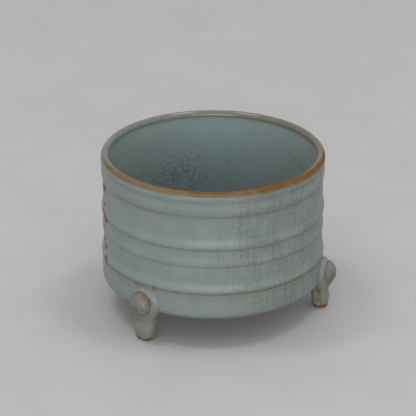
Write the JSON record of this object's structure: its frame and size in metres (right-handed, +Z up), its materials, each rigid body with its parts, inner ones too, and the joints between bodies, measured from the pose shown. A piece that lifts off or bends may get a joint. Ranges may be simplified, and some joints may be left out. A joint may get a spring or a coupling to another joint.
{
  "type": "tripod incense burner",
  "caption": "Straight-sided celadon incense burner with raised string bands and a brown-edged mouth, on short moulded legs with round bosses.",
  "frame": {"origin": "on the table under the vessel's axis, in the plane of the three soles", "axes": "+Z up along the vessel's axis; -Y is the front that the picture shows; +X is to its right"},
  "size_m": [0.1378, 0.1332, 0.0956],
  "materials": {
    "celadon_glaze": "satin grey-green crackle glaze",
    "warm_glaze": "thin satin glaze over a brown body"
  },
  "bodies": {
    "root": {"thrown_body": "celadon_glaze", "leg_front_left": "celadon_glaze", "leg_right": "celadon_glaze", "leg_rear": "celadon_glaze", "boss_front_left": "warm_glaze", "boss_right": "warm_glaze", "boss_rear": "warm_glaze"}
  },
  "joints": []
}
